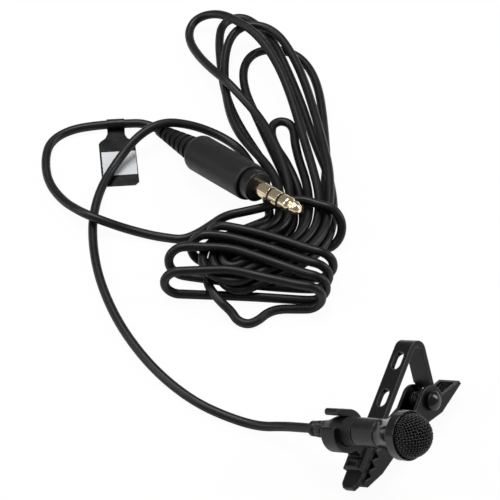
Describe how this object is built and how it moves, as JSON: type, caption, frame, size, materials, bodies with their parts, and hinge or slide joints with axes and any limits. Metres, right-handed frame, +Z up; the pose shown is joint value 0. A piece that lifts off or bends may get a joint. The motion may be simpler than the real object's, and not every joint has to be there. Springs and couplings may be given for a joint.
{
  "type": "lavalier microphone",
  "caption": "Small clip-on microphone with a domed mesh head in a slotted spring clip, on a thin cord wound into a loose hank and ending in a gold stereo jack plug.",
  "frame": {"origin": "bottom centre of the microphone and its clip, cord and plug left out, on the table", "axes": "+Z up from the table; +Y from the clip's tip towards its arch, away from the viewer; +X to the viewer's right"},
  "size_m": [0.0904, 0.1492, 0.0271],
  "materials": {
    "boot_rubber": "matt black",
    "cord_rubber": "satin black",
    "crimp_brass": "plain",
    "barrel_black": "satin black",
    "head_black": "semi-gloss black",
    "board_green": "plain",
    "capsule_metal": "plain",
    "gasket_rubber": "matt black",
    "ring_black": "satin black",
    "mesh_black": "satin black",
    "foam_black": "open foam, black",
    "arm_black": "satin black",
    "holder_black": "satin black",
    "jaw_black": "satin black",
    "pin_black": "satin black",
    "cap_black": "satin black",
    "spring_steel": "plain wire",
    "handle_black": "satin black",
    "collar_black": "semi-gloss black",
    "relief_rubber": "satin black",
    "plug_gold": "gold plate",
    "band_black": "black",
    "tag_black": "matt film, black",
    "label_white": "paper, bare"
  },
  "bodies": {
    "clip": {"clip_arm": "arm_black", "holder": "holder_black", "pivot_pin": "pin_black", "pin_cap": "cap_black", "torsion_spring": "spring_steel", "plug_handle": "handle_black", "plug_collar": "collar_black", "plug_strain_relief": "relief_rubber", "plug_sleeve": "plug_gold", "plug_band_rear": "band_black", "plug_ring": "plug_gold", "plug_band_front": "band_black", "plug_tip": "plug_gold", "plug_cord_end": "cord_rubber", "cord_mic_side": "cord_rubber", "cord_plug_side": "cord_rubber", "cord_hank": "cord_rubber", "cord_tag": "tag_black", "tag_label": "label_white"},
    "mic": {"rear_boot": "boot_rubber", "cord_tail": "cord_rubber", "cord_crimp": "crimp_brass", "barrel": "barrel_black", "head_cup": "head_black", "capsule_board": "board_green", "capsule_can": "capsule_metal", "capsule_gasket": "gasket_rubber", "grille_ring": "ring_black", "grille_dome": "mesh_black", "grille_foam": "foam_black"},
    "jaw": {"rear_jaw": "jaw_black"}
  },
  "joints": [
    {"name": "jaw_pivot", "type": "hinge", "parent": "clip", "child": "jaw", "pos_m": [0.00767, 0.01018, 0.00478], "axis": [0.6915, -0.4988, 0.5225], "range_deg": [0, 28], "stiffness_Nm_per_rad": 0.003, "springref_deg": -20.05, "deforming": ["torsion_spring"]},
    {"name": "mic_rotation", "type": "hinge", "parent": "clip", "child": "mic", "pos_m": [-0.00912, -0.00458, 0.01292], "axis": [0.6915, -0.4988, 0.5225], "range_deg": [-180, 180]}
  ]
}
